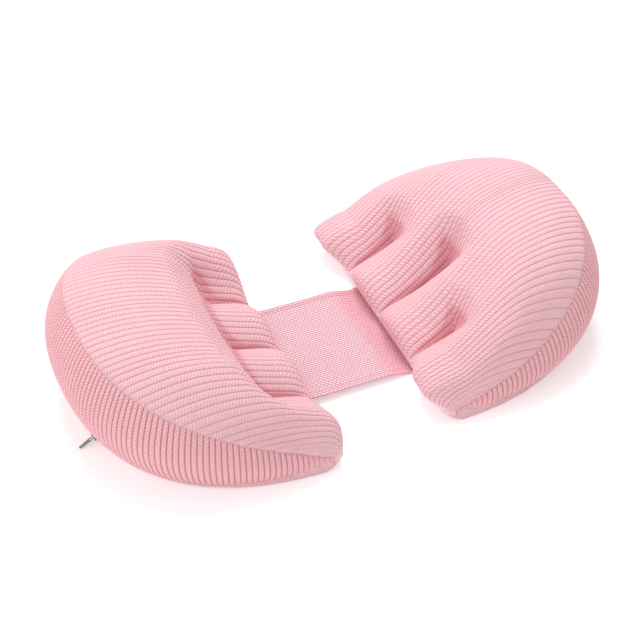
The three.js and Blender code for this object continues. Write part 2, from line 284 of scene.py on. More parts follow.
@dataclass
class Wire:
    """A socket of a node tree, with Python's operators for its Math nodes."""

    tree: bpy.types.NodeTree
    socket: bpy.types.NodeSocket

    def math(self, operation: str, *others: "Wire | float") -> "Wire":
        """Return the result of a Math node on this value and the others."""
        made = add_node(self.tree, "ShaderNodeMath", {"operation": operation},
                        dict(enumerate((self, *others))))
        return Wire(self.tree, made.outputs[0])

    def __add__(self, other: "Wire | float") -> "Wire":
        """Return the sum."""
        return self.math("ADD", other)

    def __sub__(self, other: "Wire | float") -> "Wire":
        """Return the difference."""
        return self.math("SUBTRACT", other)

    def __rsub__(self, other: float) -> "Wire":
        """Return a number less this value."""
        return (self * -1.0) + other

    def __mul__(self, other: "Wire | float") -> "Wire":
        """Return the product."""
        return self.math("MULTIPLY", other)

    def __truediv__(self, other: "Wire | float") -> "Wire":
        """Return the quotient."""
        return self.math("DIVIDE", other)

    def __pow__(self, other: "Wire | float") -> "Wire":
        """Return the power."""
        return self.math("POWER", other)

    def __abs__(self) -> "Wire":
        """Return the value without its sign."""
        return self.math("ABSOLUTE")

    __radd__ = __add__
    __rmul__ = __mul__

    def step(self, low: float, high: float) -> "Wire":
        """Return an eased step from 0 at low to 1 at high."""
        made = add_node(self.tree, "ShaderNodeMapRange", {"interpolation_type": "SMOOTHSTEP"},
                        {"Value": self, "From Min": low, "From Max": high})
        return Wire(self.tree, made.outputs[0])


def add_node(tree: bpy.types.NodeTree, kind: str, settings: dict | None = None,
             inputs: dict | None = None) -> bpy.types.Node:
    """Add a node.

    Args:
        tree: node tree that it goes into.
        kind: type of the node.
        settings: its properties, set before its sockets.
        inputs: values or wires of its sockets, by name or number.

    Returns:
        The node.
    """
    made = tree.nodes.new(kind)
    for key, value in (settings or {}).items():
        setattr(made, key, value)
    set_sockets(tree, made, inputs or {})
    return made


def set_sockets(tree: bpy.types.NodeTree, node: bpy.types.Node, inputs: dict) -> None:
    """Give a node's sockets their values or wires, by name or number."""
    for key, value in inputs.items():
        if isinstance(value, Wire):
            tree.links.new(value.socket, node.inputs[key])
        else:
            node.inputs[key].default_value = value


@dataclass
class Shader:
    """A material under construction: its tree, its Principled shader and its common inputs."""

    name: str

    def __post_init__(self) -> None:
        """Make the material with one Principled shader."""
        self.material = bpy.data.materials.new(self.name)
        self.material.use_nodes = True
        self.tree = self.material.node_tree
        self.principled = self.tree.nodes["Principled BSDF"]

    def node(self, kind: str, settings: dict | None = None,
             inputs: dict | None = None) -> bpy.types.Node:
        """Add a node to this material, as add_node says."""
        return add_node(self.tree, kind, settings, inputs)

    def wire(self, node: bpy.types.Node, output: str | int = 0) -> Wire:
        """Return one output of a node."""
        return Wire(self.tree, node.outputs[output])

    def rib_map(self) -> tuple[Wire, Wire]:
        """Return the piece's own map: cm along the rib, and the number of ribs across."""
        place = self.node("ShaderNodeUVMap", {"uv_map": "rib_map"})
        split = self.node("ShaderNodeSeparateXYZ", inputs={0: self.wire(place)})
        return self.wire(split, 0), self.wire(split, 1)

    def shade_and_stitch(self) -> Wire:
        """Return where shade is painted, deepest in the creases, and on the link panel also where its stitch
        lines lie.
        """
        return self.wire(self.node("ShaderNodeAttribute", {"attribute_name": "shade_and_stitch"}), "Fac")

    def noise(self, scale: float, detail: float = 2.0, rough: float = 0.5,
              place: Wire | None = None) -> Wire:
        """Add a noise texture.

        Args:
            scale: cells to the metre, or to the unit of place.
            detail: octaves.
            rough: share of each further octave.
            place: where it is read, the Object coordinates if none.

        Returns:
            The noise, from 0 to 1.
        """
        place = place or self.wire(self.node("ShaderNodeTexCoord"), "Object")
        inputs = {"Vector": place, "Scale": scale, "Detail": detail, "Roughness": rough}
        return self.wire(self.node("ShaderNodeTexNoise", inputs=inputs), "Fac")

    def yarn(self) -> Wire:
        """Return the fine noise of the yarn's fibres."""
        return self.noise(1500.0, 3.0, 0.6)

    def vector(self, x: Wire | float, y: Wire | float, z: Wire | float = 0.0) -> Wire:
        """Return a vector of three values."""
        return self.wire(self.node("ShaderNodeCombineXYZ", inputs={0: x, 1: y, 2: z}))

    def mix(self, share: Wire | float, first: Wire | Colour, second: Wire | Colour) -> Wire:
        """Mix two colours.

        Args:
            share: 0 for the first, 1 for the second.
            first: colour or wire.
            second: colour or wire.

        Returns:
            The mixed colour.
        """
        made = self.node("ShaderNodeMix", {"data_type": "RGBA"}, {0: share, 6: first, 7: second})
        return self.wire(made, 2)

    def finish(self, colour: Wire, roughness: Wire | float, height: Wire | None = None,
               depth_mm: float = 0.3, constants: dict | None = None) -> bpy.types.Material:
        """Wire the Principled shader.

        Args:
            colour: base colour.
            roughness: roughness.
            height: height of the fine relief, from 0 to 1.
            depth_mm: how high 1 is.
            constants: values of the shader's other sockets.

        Returns:
            The material.
        """
        sockets = {"Base Color": colour, "Roughness": roughness, **(constants or {})}
        if height is not None:
            relief = {"Height": height, "Distance": depth_mm * MM, "Strength": 1.0}
            sockets["Normal"] = self.wire(self.node("ShaderNodeBump", inputs=relief))
        set_sockets(self.tree, self.principled, sockets)
        return self.material


@dataclass(frozen=True)
class RibKnitFinish:
    """Ribbed knit: pale ribs of slanted stitches, with a deeper pink line in each groove between them that
    is partly painted shade, and painted shade in its creases.
    """

    name: str
    pale: Colour = (0.785, 0.505, 0.55, 1.0)
    deep: Colour = (0.58, 0.17, 0.20, 1.0)
    seam: Colour = (0.90, 0.66, 0.70, 1.0)
    line_start: float = 0.70  # share of half a rib where the groove's line starts
    groove_line_and_shade_share: float = 0.30  # how much of the deep colour the line takes: the knit's own deeper pink, partly painted shade in the groove
    stitch_cm: float = 0.37  # length of one stitch along the rib
    slant: float = 1.25  # how many stitches a strand leans over the width of a rib
    stitch_gap_and_shade_share: float = 0.34  # how much of the deep colour lies between two stitches, partly painted shade of their relief
    relief_mm: float = 0.5
    crease_shade_share: float = 0.55  # how much of the deep colour is painted into the deepest creases as shade

    def make(self) -> bpy.types.Material:
        """Return the material."""
        shader = Shader(self.name)
        along, across = shader.rib_map()
        inside = across.math("FRACT")
        from_middle = abs(inside - 0.5) * 2.0
        line = from_middle.step(self.line_start, 1.0)
        wander = shader.noise(1.7, 1.0, place=shader.vector(along, across)) - 0.5
        # Each rib is a column of stitches that all lean the same way, as the strands of a rope do.
        jitter = (across.math("FLOOR") * 12.9898).math("SINE") * 3.7
        plait = (along / self.stitch_cm + inside * self.slant + jitter + wander * 0.8).math("FRACT")
        bead = (1.0 - abs(plait - 0.5) * 2.0).step(0.0, 0.75)
        yarn = shader.yarn()
        cloud = shader.noise(9.0, 2.0, 0.5)
        # Between the stitches the deep colour is partly painted shade of their relief
        body = shader.mix((1.0 - bead) * self.stitch_gap_and_shade_share, self.pale, self.deep)
        body = shader.mix(abs(yarn - 0.5) * 0.35, body, self.deep)
        body = shader.mix(cloud.step(0.35, 0.75) * 0.07, body, self.deep)
        # The groove's line is the knit's own deeper pink and partly painted shade in the groove
        body = shader.mix(line * self.groove_line_and_shade_share, body, self.deep)
        seam = 1.0 - along.step(0.12, 0.3)
        body = shader.mix(seam * 0.5, body, self.seam)
        # Painted shade: the deep colour darkens the creases, the more the deeper they are
        colour = shader.mix(shader.shade_and_stitch() ** 2.6 * self.crease_shade_share, body, self.deep)
        height = bead * (1.0 - line) * 0.8 + yarn * 0.35
        return shader.finish(colour, KNIT_ROUGHNESS, height, self.relief_mm, KNIT_SHEEN)


@dataclass(frozen=True)
class PanelKnitFinish:
    """Finer knit of the link panel, with a pebbled face, its hem's stitch lines, and painted shade near both
    cushions.
    """

    name: str = "panel_knit_fine"
    pale: Colour = (0.89, 0.69, 0.74, 1.0)
    deep: Colour = (0.62, 0.16, 0.22, 1.0)
    shade_and_stitch_pink: Colour = (0.88, 0.38, 0.45, 1.0)  # painted shade and inter-reflection under the belly cushion's edge and by the back cushion's seam, and the hem's stitch lines
    stitch_cm: float = 0.52
    relief_mm: float = 0.8

    def make(self) -> bpy.types.Material:
        """Return the material."""
        shader = Shader(self.name)
        along, across = shader.rib_map()
        inside = across.math("FRACT")
        from_middle = abs(inside - 0.5) * 2.0
        line = from_middle.step(0.5, 1.0)
        odd = (across * 0.5).math("FRACT").math("GREATER_THAN", 0.5)
        wander = shader.noise(2.4, 1.0, place=shader.vector(along, across)) - 0.5
        plait = (along / self.stitch_cm + odd * 0.5 + inside * 0.35 + wander * 0.5).math("FRACT")
        bead = (1.0 - abs(plait - 0.5) * 2.0).step(0.05, 0.7)
        yarn = shader.yarn()
        pebble = bead * (1.0 - line)
        body = shader.mix((1.0 - pebble) * 0.58, self.pale, self.deep)
        body = shader.mix(abs(yarn - 0.5) * 0.4, body, self.deep)
        # Painted shade near both cushions, and the hem's stitch lines, in a saturated pink
        colour = shader.mix(shader.shade_and_stitch() * 0.6, body, self.shade_and_stitch_pink)
        height = pebble * 0.9 + yarn * 0.3
        return shader.finish(colour, KNIT_ROUGHNESS, height, self.relief_mm, KNIT_SHEEN)


@dataclass(frozen=True)
class ZipMetalFinish:
    """Satin grey metal of the zip, a little darker in its scratches."""

    name: str = "zip_metal_satin"
    dark: Colour = (0.20, 0.205, 0.215, 1.0)
    bright: Colour = (0.42, 0.43, 0.45, 1.0)

    def make(self) -> bpy.types.Material:
        """Return the material."""
        shader = Shader(self.name)
        wear = shader.noise(900.0, 4.0, 0.65)
        colour = shader.mix(wear.step(0.35, 0.7), self.dark, self.bright)
        return shader.finish(colour, 0.28 + wear * 0.2, wear, 0.05, {"Metallic": 0.9})


@dataclass(frozen=True)
class FloorFinish:
    """Plain white floor."""

    name: str = "studio_floor"
    white: Colour = (0.93, 0.93, 0.93, 1.0)
    grey: Colour = (0.88, 0.88, 0.88, 1.0)
    glow: float = 0.24

    def make(self) -> bpy.types.Material:
        """Return the material."""
        shader = Shader(self.name)
        colour = shader.mix(shader.noise(30.0) * 0.02, self.white, self.grey)
        glow = {"Emission Color": (1.0, 1.0, 1.0, 1.0), "Emission Strength": self.glow}
        return shader.finish(colour, 0.95, constants={"Specular IOR Level": 0.0, **glow})


# Cushion


@dataclass(frozen=True)
class CushionForm:
    """Sizes of a cushion's cover, in mm. But for rib_turn they are those of the part's source."""

    side: Side
    turn: float  # degrees
    shift: float
    gusset: float
    gusset_power: float
    gusset_skew: float
    lobe: float
    lobe_slope: float
    wing_lobe: float  # lobe height beyond the outer channels, as a share of the others
    wing_far: float  # q where the far wing starts, as wing_near for the other one
    wing_near: float
    wing_blend: float
    wing_bulge: float
    front_bulge: float
    flank_start: float  # shares of a section, as flank_end
    flank_end: float
    wing_end: float  # flank_end beyond the outer channels, where the rise starts at the edge
    flank_mix: float  # 0 for a flank rounded at its foot, 1 for one that leaves the foot steeply
    flank_power: float
    dome: float
    dome_power: float
    dome_blend: float
    dome_skew: float  # how much higher the dome is at the far tip, as a share
    crown: float
    crown_power: float
    channels: tuple[float, float, float]  # length of each, from the near one to the far one
    channel_reach: float
    channel_end: float
    corner_far: float  # radius of the corner between the straight edge and the far tip
    corner_near: float
    edge_round: float
    rim_round: float
    rim_rise: float
    rib_turn: float  # q that a rib gains for each mm of p
    length: float = 391.4
    depth: float = 247.9
    roundness: float = 2.413
    base_seam: float = 11.0
    edge_seam: float = 12.0
    gusset_tip: float = 14.0
    point: float = 3.0  # height to which the gusset closes at the tips, within point_share of the rim
    point_share: float = 0.2
    gusset_lean: float = 0.012
    gusset_bulge: float = 0.198
    swell_fade: float = 26.0  # length over which both bulges fade at the tips
    tip_round: float = 24.0
    foot_round: float = 18.0
    channel_pitch: float = 92.8
    channel_power: float = 1.435
    floor_start: float = 7.0
    floor_slope: float = 0.3


@dataclass
class CoverShape:
    """The cover's three surfaces as functions of two parameters, in the cushion's own plan."""

    form: CushionForm

    def corner(self, q: Array) -> Array:
        """Return the radius of the corner on this side of the middle."""
        return np.where(q > 0.0, self.form.corner_far, self.form.corner_near)

    def closing(self, p: Array, q: Array) -> Array:
        """Return how far the two seams of the gusset have closed: 0 but for 1 at the tips."""
        corner = self.corner(q)
        return 1.0 - ease(0.0, self.form.point_share, (p - corner) / (self.form.depth - corner))

    def rim(self, angle: Array) -> Array:
        """Lower seam: a superellipse from one tip to the other, which rises a little at the tips.

        Args:
            angle: -90 degrees at one tip to 90 at the other, in radians.

        Returns:
            Points p, q, z.
        """
        f = self.form
        power = 2.0 / f.roundness
        q = np.sign(np.sin(angle)) * np.abs(np.sin(angle)) ** power * f.length / 2.0
        corner = self.corner(q)
        p = corner + (f.depth - corner) * np.maximum(0.0, np.cos(angle)) ** power
        z = f.base_seam + 0.5 * (f.gusset_tip - f.point) * self.closing(p, q)
        return np.stack([p, q, z], axis=-1)

    def rim_outward(self, angle: Array) -> Array:
        """Return the flat direction out of the rim: its tangent turned by a right angle."""
        step = 0.004
        ahead = self.rim(np.minimum(math.pi / 2, angle + step))
        behind = self.rim(np.maximum(-math.pi / 2, angle - step))
        run = unit((ahead - behind)[..., :2])
        return np.stack([run[..., 1], -run[..., 0], np.zeros_like(run[..., 0])], axis=-1)

    def gusset_height(self, rim: Array) -> Array:
        """Return the gusset's height: a power of the rim's distance from the tips."""
        f = self.form
        corner = self.corner(rim[..., 1])
        share = clamp((rim[..., 0] - corner) / (f.depth - corner))
        plain = f.gusset_tip + (f.gusset - f.gusset_tip) * share ** f.gusset_power
        plain = plain - (f.gusset_tip - f.point) * self.closing(rim[..., 0], rim[..., 1])
        return plain * (1.0 + f.gusset_skew * rim[..., 1] / (f.length / 2.0))

    def gusset(self, angle: Array, s: Array) -> Array:
        """Gusset: it stands on the rim, swells out by a sine arch and leans in a little.

        Args:
            angle: place round the rim.
            s: 0 at the lower seam to 1 at the upper one.

        Returns:
            Points p, q, z.
        """
        f = self.form
        rim = self.rim(angle)
        high = self.gusset_height(rim)
        swell = f.gusset_bulge * np.maximum(0.0, np.sin(math.pi * s)) ** 0.9
        out = (swell - f.gusset_lean * s ** 1.5) * high
        points = rim + self.rim_outward(angle) * out[..., None]
        points[..., 2] = rim[..., 2] + high * s
        return points

    def angle_at(self, span: Array) -> Array:
        """Return the angle whose upper seam lies at this share of the length, by halving."""
        end = self.gusset(np.array([math.pi / 2]), np.array([1.0]))[0, 1]
        low = np.full_like(span, -math.pi / 2)
        high = np.full_like(span, math.pi / 2)
        for _ in range(40):
            middle = (low + high) / 2.0
            short = self.gusset(middle, np.ones_like(middle))[..., 1] < span * end
            low = np.where(short, middle, low)
            high = np.where(short, high, middle)
        return (low + high) / 2.0

    def edge(self, span: Array) -> Array:
        """Return the straight edge, with a quarter circle at each corner."""
        f = self.form
        half = f.length / 2.0
        corner = self.corner(span)
        x = clamp((np.abs(span) * half - (half - corner)) / corner)
        p = corner * (1.0 - np.sqrt(1.0 - x * x))
        return np.stack([p, span * half, np.full_like(p, f.edge_seam)], axis=-1)

    def channel_pull(self, d: Array, q: Array) -> Array:
        """How strongly the nearest channel draws the cover in.

        Args:
            d: distance from the straight edge.
            q: distance along it.

        Returns:
            0 to 1: it falls off with the distance from the channel's line, faster beyond its end.
        """
        f = self.form
        pull = np.zeros_like(d)
        for i, long in enumerate(f.channels):
            beyond = np.maximum(0.0, d - long) * f.channel_end
            away = np.hypot(q - (i - 1) * f.channel_pitch, beyond)
            x = clamp(1.0 - away / f.channel_reach)
            swell = (1.0 - x ** f.channel_power) ** (1.0 / f.channel_power)
            pull = np.maximum(pull, 1.0 - swell)
        return pull

    def ends(self, span: Array) -> tuple[Array, Array]:
        """Where a rib's row ends, since ribs may run at a slant to the channels.

        Args:
            span: share of the half length at the middle of the row.

        Returns:
            The spans of its end at the straight edge and of its end at the upper seam.
        """
        f = self.form
        lean = f.rib_turn * f.depth / f.length * (1.0 - span * span)
        return span - lean, span + lean

    def climbed(self, t: Array, low: Array, crest: Array, end: Array, crown: Array, start: float,
                stop: float) -> Array:
        """Height of the top where the cover climbs from the lobes to the dome.

        Args:
            t: 0 at the straight edge to 1 at the upper seam.
            low: height of the lobes.
            crest: height of the dome's inner side.
            end: height of its rim.
            crown: how far it swells between them.
            start: share of the section where the climb starts.
            stop: where it ends.

        Returns:
            The lobes' height, mixed into the dome's by a climb that is eased, steep or both.
        """
        f = self.form
        u = clamp((t - start) / (1.0 - start))
        blend = f.dome_blend * ease(0.0, 1.0, u) + (1.0 - f.dome_blend) * u
        arch = np.maximum(0.0, np.sin(math.pi * u ** f.crown_power)) ** 1.2
        dome = crest + (end - crest) * blend + crown * arch
        climb = clamp((t - start) / (stop - start))
        steep = np.sin(climb * math.pi / 2) ** f.flank_power
        mixed = (1.0 - f.flank_mix) * ease(0.0, 1.0, climb) + f.flank_mix * steep
        return low + np.maximum(0.0, dome - low) * mixed

    def top(self, span: Array, t: Array) -> Array:
        """Top panel: lobes rise from the straight edge, the dome takes over and falls to the upper seam.

        Args:
            span: share of the half length, -1 to 1.
            t: 0 at the straight edge to 1 at the upper seam.

        Returns:
            Points p, q, z.
        """
        f = self.form
        edge_span, seam_span = self.ends(span)
        edge = self.edge(edge_span)[:, None, :]
        seam = self.gusset(self.angle_at(seam_span), np.ones_like(span))[:, None, :]
        span, t = span[:, None], t[None, :]
        long = np.maximum(1.0, seam[..., 0] - edge[..., 0])
        d = t * long
        q = edge[..., 1] + (seam[..., 1] - edge[..., 1]) * t
        share = clamp(long / (f.depth * 0.9))
        fading = ease(0.0, 0.13, share)
        wing = ease(f.wing_far, f.wing_far + f.wing_blend, q)
        wing = wing + ease(f.wing_near, f.wing_near + f.wing_blend, -q)
        lobe = f.lobe * (1.0 + (f.wing_lobe - 1.0) * wing) * fading
        full = share ** f.dome_power
        front = clamp(d / np.minimum(f.edge_round, 0.5 * long))
        rise = quarter(front)
        low = f.edge_seam + lobe * rise + f.lobe_slope * d * share
        tilt = 1.0 + f.dome_skew * q / (f.length / 2.0)
        crest = np.maximum(f.dome * full * tilt, f.edge_seam + lobe)
        end = seam[..., 2] + f.rim_rise * full
        crown = f.crown * full
        middle = self.climbed(t, low, crest, end, crown, f.flank_start, f.flank_end)
        z = middle + (self.climbed(t, low, crest, end, crown, 0.0, f.wing_end) - middle) * wing
        fall = clamp((long - d) / np.minimum(f.rim_round, 0.5 * long))
        close = 1.0 - quarter(fall)
        z = z * (1.0 - close) + seam[..., 2] * close
        pull = self.channel_pull(d, q)
        floor = f.edge_seam + f.floor_start * rise + f.floor_slope * d
        z = z - np.maximum(0.0, z - floor) * pull
        chord = edge[..., 2] + (seam[..., 2] - edge[..., 2]) * t
        past = clamp((np.abs(span) * f.length / 2.0 - f.length / 2.0 + f.tip_round) / f.tip_round)
        z = chord + (z - chord) * np.sqrt(1.0 - past ** 2)
        swell = (f.front_bulge + (f.wing_bulge - f.front_bulge) * wing) * np.sin(math.pi * front ** 0.6)
        swell = swell * (1.0 - pull) * fading * ease(0.0, f.swell_fade, f.length / 2.0 - np.abs(q))
        return np.stack([edge[..., 0] + d - swell, q, z], axis=-1)

    def base(self, span: Array, b: Array) -> Array:
        """Underside: flat but for a rounded foot at both seams, and raised over the link panel's end.

        Args:
            span: share of the half length.
            b: 0 at the lower seam to 1 at the straight edge.

        Returns:
            Points p, q, z.
        """
        f = self.form
        edge_span, seam_span = self.ends(span)
        rim = self.rim(self.angle_at(seam_span))[:, None, :]
        edge = self.edge(edge_span)[:, None, :]
        long = np.linalg.norm(rim - edge, axis=-1)
        walked = b[None, :] * long
        points = rim + (edge - rim) * b[None, :, None]
        from_side = clamp(np.minimum(walked, long - walked) / f.foot_round)
        seam = rim[..., 2] + (f.edge_seam - rim[..., 2]) * b[None, :]
        lift = self.panel_lift(points)
        points[..., 2] = np.maximum(seam * (1.0 - from_side) ** 2, lift)
        return points

    def panel_lift(self, points: Array) -> Array:
        """Return how high the underside lies over the tucked end of the link panel."""
        f = self.form
        if f.side is Side.BACK:
            return np.zeros(points.shape[:-1])
        past = ease(PANEL_TUCK + 6.0, PANEL_TUCK + 30.0, points[..., 0])
        beside = ease(PANEL_HALF + 8.0, PANEL_HALF + 30.0, np.abs(points[..., 1] + f.shift))
        return (PANEL_THICK + PANEL_HEM_THICK + FIT_GAP) * (1.0 - past) * (1.0 - beside)


@dataclass
class Cushion:
    """One filled cushion: ribbed top panel with sewn channels, ribbed gusset and underside."""

    name: str
    form: CushionForm
    top_rib: float = 8.4  # mm from rib to rib over the dome
    gusset_rib: float = 6.8  # mm from rib to rib round the gusset
    top_relief: float = 1.1  # depth of the grooves, mm
    gusset_relief: float = 1.9
    across: int = 96  # steps from the straight edge to the upper seam
    gusset_steps: int = 26
    base_steps: int = 14
    seam_tuck: float = 0.9  # how deep a seam is drawn in
    seam_width: float = 1.8
    last_row_drop: float = 0.3  # keeps the gusset's last row under the top panel's
    row_end: float = 0.996  # span past which the rows close up towards the tips
    row_closings: int = 8

    def __post_init__(self) -> None:
        """Set up the cover's surfaces."""
        self.shape = CoverShape(self.form)

    @staticmethod
    def rib_phases(first: float, last: float) -> Array:
        """Steps across ribs, close together at the grooves.

        Args:
            first: number of the first rib.
            last: number of the last rib.

        Returns:
            Rising phases from first to last, whose whole numbers are grooves.
        """
        inside = np.array([0.0, 0.06, 0.16, 0.33, 0.5, 0.67, 0.84, 0.94])
        phases = (np.arange(math.floor(first), math.ceil(last))[:, None] + inside[None, :]).ravel()
        phases = phases[(phases > first + 0.02) & (phases < last - 0.02)]
        return np.concatenate([[first], phases, [last]])

    @staticmethod
    def rib_relief(phase: Array) -> Array:
        """Return the depth under a rib's crown, from 0 on it to 1 in the groove."""
        from_middle = np.abs(phase - np.floor(phase) - 0.5) * 2.0
        return 0.35 * from_middle ** 2 + 0.65 * from_middle ** 9

    def place(self, points: Array) -> Array:
        """Put points from the cushion's own plan into the pillow's frame, in mm."""
        f = self.form
        angle = math.radians(f.turn)
        x, y = points[..., 0] * f.side.value, points[..., 1]
        return np.stack([
            f.side.value * HALF_GAP + x * math.cos(angle) - y * math.sin(angle) + FOOTPRINT_SHIFT[0],
            x * math.sin(angle) + y * math.cos(angle) + f.shift + FOOTPRINT_SHIFT[1],
            points[..., 2],
        ], axis=-1)

    def seam_way(self, angle: Array, tuck: Array) -> Array:
        """How far the upper seam's stitching draws the cover, which is halfway between out and up.

        Args:
            angle: rim angle of each row.
            tuck: how far each point is drawn, in mm.

        Returns:
            The draw as a vector for each point.
        """
        out = self.shape.rim_outward(angle)
        way = (out + np.array([0.0, 0.0, 1.0])) * math.sqrt(0.5)
        return way[:, None, :] * tuck[..., None]

    def top_rows(self) -> tuple[Array, Array]:
        """Rows of the top panel: ribs evenly spaced over the dome, then ever closer rows at the tips.

        Returns:
            Phase and span of each row.
        """
        dense = np.linspace(-0.9999, 0.9999, 1201)
        line = self.shape.top(dense, np.array([0.08, 0.3, 0.55]))
        step = np.linalg.norm(np.diff(line, axis=0), axis=-1).mean(axis=-1)
        walked = np.concatenate([[0.0], np.cumsum(step)]) / self.top_rib
        middle = round(walked[-1] / 2.0)
        phase = self.rib_phases(0.0, walked[-1])
        span = np.interp(phase, walked, dense)
        kept = np.abs(span) < self.row_end
        closing = 1.0 - (1.0 - self.row_end) * np.linspace(0.95, 0.05, self.row_closings) ** 2
        span = np.sort(np.concatenate([span[kept], -closing, closing]))
        return np.interp(span, dense, walked) - middle, span

    def off_tip(self, angle: Array) -> Array:
        """Return 0 at the tips of the gusset to 1 where the closing of its seams ends."""
        rim = self.shape.rim(angle)
        return 1.0 - self.shape.closing(rim[..., 0], rim[..., 1])

    @staticmethod
    def creases(height: Array) -> Array:
        """How deep each point of the cover lies under its surroundings.

        Args:
            height: height of each point of the top panel's grid.

        Returns:
            The mean height of the points around it, less its own, as a share of CREASE_DEPTH: how much shade
            is painted there.
        """
        around = height
        for axis, reach in enumerate(CREASE_REACH):
            widths = [(reach, reach) if i == axis else (0, 0) for i in range(2)]
            padded = np.pad(around, widths, mode="reflect", reflect_type="odd")
            window = np.lib.stride_tricks.sliding_window_view(padded, 2 * reach + 1, axis=axis)
            around = window.mean(axis=-1)
        return clamp((around - height) / CREASE_DEPTH)

    def top_grid(self) -> tuple[Array, Array, Array, Array, Array]:
        """Top panel with its ribs.

        Returns:
            Points, map, the painted shade of its creases, and the phase and span of each row.
        """
        phase, span = self.top_rows()
        t = spaced(self.across, 0.2)
        smooth = self.shape.top(span, t)
        outward = -grid_normals(smooth)
        near_tip = ease(0.995, 0.95, np.abs(span))[:, None]
        long = np.ptp(smooth[..., 0], axis=1)[:, None]
        d = t[None, :] * long
        from_seam = np.minimum(d, long - d)
        relief = self.top_relief * self.rib_relief(phase)[:, None] * near_tip
        relief = relief * ease(0.0, 2.0, from_seam)
        angle = self.shape.angle_at(self.shape.ends(span)[1])
        tuck = self.seam_tuck * np.exp(-((long - d) / self.seam_width) ** 2)
        tuck = tuck * self.off_tip(angle)[:, None]
        points = smooth - outward * relief[..., None] - self.seam_way(angle, tuck)
        # How deep the creases lie sets where shade is painted into them
        return points, rib_places(d, phase), self.creases(smooth[..., 2]) * near_tip, phase, span

    def gusset_grid(self, first: float, last: float) -> tuple[Array, Array, Array]:
        """Gusset with its upright ribs.

        Args:
            first: rim angle where it starts.
            last: rim angle where it ends.

        Returns:
            Points, map, and the rim angle of each row.
        """
        dense = np.linspace(-math.pi / 2, math.pi / 2, 4001)
        line = self.shape.gusset(dense, np.full_like(dense, 0.6))
        walked = np.concatenate([[0.0], np.cumsum(np.linalg.norm(np.diff(line, axis=0), axis=1))])
        ribs = round(walked[-1] / self.gusset_rib)
        phase = self.rib_phases(0.0, float(ribs))
        angle = np.interp(phase / ribs * walked[-1], walked, dense)
        inside = (angle > first + 0.0005) & (angle < last - 0.0005)
        angle = np.concatenate([[first], angle[inside], [last]])
        phase = np.interp(angle, dense, walked) / walked[-1] * ribs
        s = spaced(self.gusset_steps, 0.15)
        smooth = self.shape.gusset(angle[:, None], np.broadcast_to(s[None, :], (len(angle), len(s))))
        outward = grid_normals(smooth)
        high = self.shape.gusset_height(self.shape.rim(angle))[:, None]
        from_seam = np.minimum(s, 1.0 - s)[None, :] * high
        near_tip = self.off_tip(angle)[:, None] * ease(3.0, 16.0, high)
        relief = self.gusset_relief * self.rib_relief(phase)[:, None] * near_tip
        relief = relief * ease(0.0, 1.6, from_seam)
        tuck = self.seam_tuck * np.exp(-((1.0 - s)[None, :] * high / self.seam_width) ** 2)
        tuck = tuck * self.off_tip(angle)[:, None]
        points = smooth - outward * relief[..., None] - self.seam_way(angle, tuck)
        points[:, -1, 2] -= self.last_row_drop
        return points, rib_places(s[None, :] * high, phase), angle

    def base_grid(self, phase: Array, span: Array) -> tuple[Array, Array]:
        """Underside, whose rows are those of the top panel.

        Args:
            phase: rib phase of each row.
            span: span of each row.

        Returns:
            Points and map.
        """
        points = self.shape.base(span, spaced(self.base_steps, 0.25))
        return points, rib_places(points[..., 0], phase)

    def build(self, materials: list[bpy.types.Material]) -> bpy.types.Object:
        """Make the cushion as one closed mesh.

        Args:
            materials: for the top panel, the gusset and the underside.

        Returns:
            The object.
        """
        maker = MeshMaker()
        top, top_map, shade_and_stitch, phase, span = self.top_grid()
        top_angle = self.shape.angle_at(self.shape.ends(span)[1])
        gusset, gusset_map, angle = self.gusset_grid(top_angle[0], top_angle[-1])
        base, base_map = self.base_grid(phase, span)
        top_ids = maker.add_points(self.place(top), top_map, shade_and_stitch)
        gusset_ids = maker.add_points(self.place(gusset), gusset_map)
        base_ids = maker.add_points(self.place(base), base_map)
        maker.add_grid(top_ids, Patch.TOP.value, flip=True)
        maker.add_grid(gusset_ids, Patch.GUSSET.value)
        maker.add_grid(base_ids, Patch.BASE.value, flip=True)
        maker.add_strip(top_ids[:, -1], top_angle, gusset_ids[:, -1], angle, Patch.TOP.value, flip=True)
        maker.add_strip(gusset_ids[:, 0], angle, base_ids[:, 0], top_angle, Patch.BASE.value, flip=True)
        maker.add_grid(np.stack([base_ids[:, -1], top_ids[:, 0]], axis=1), Patch.BASE.value, flip=True)
        for row, turned in ((0, False), (-1, True)):
            loop = np.concatenate([top_ids[row, ::-1], base_ids[row, ::-1], gusset_ids[row, :]])
            heart = (base[row, base.shape[1] // 2] + top[row, top.shape[1] // 2]) / 2.0
            pole = maker.add_points(self.place(heart[None, :]), np.zeros((1, 2)))
            fan = np.stack([loop, np.roll(loop, -1), np.full_like(loop, pole[0])], axis=1)
            maker.add_triangles(fan, Patch.BASE.value, flip=turned)
        return maker.build(self.name, materials, flip=self.form.side is Side.BACK)


# Link panel


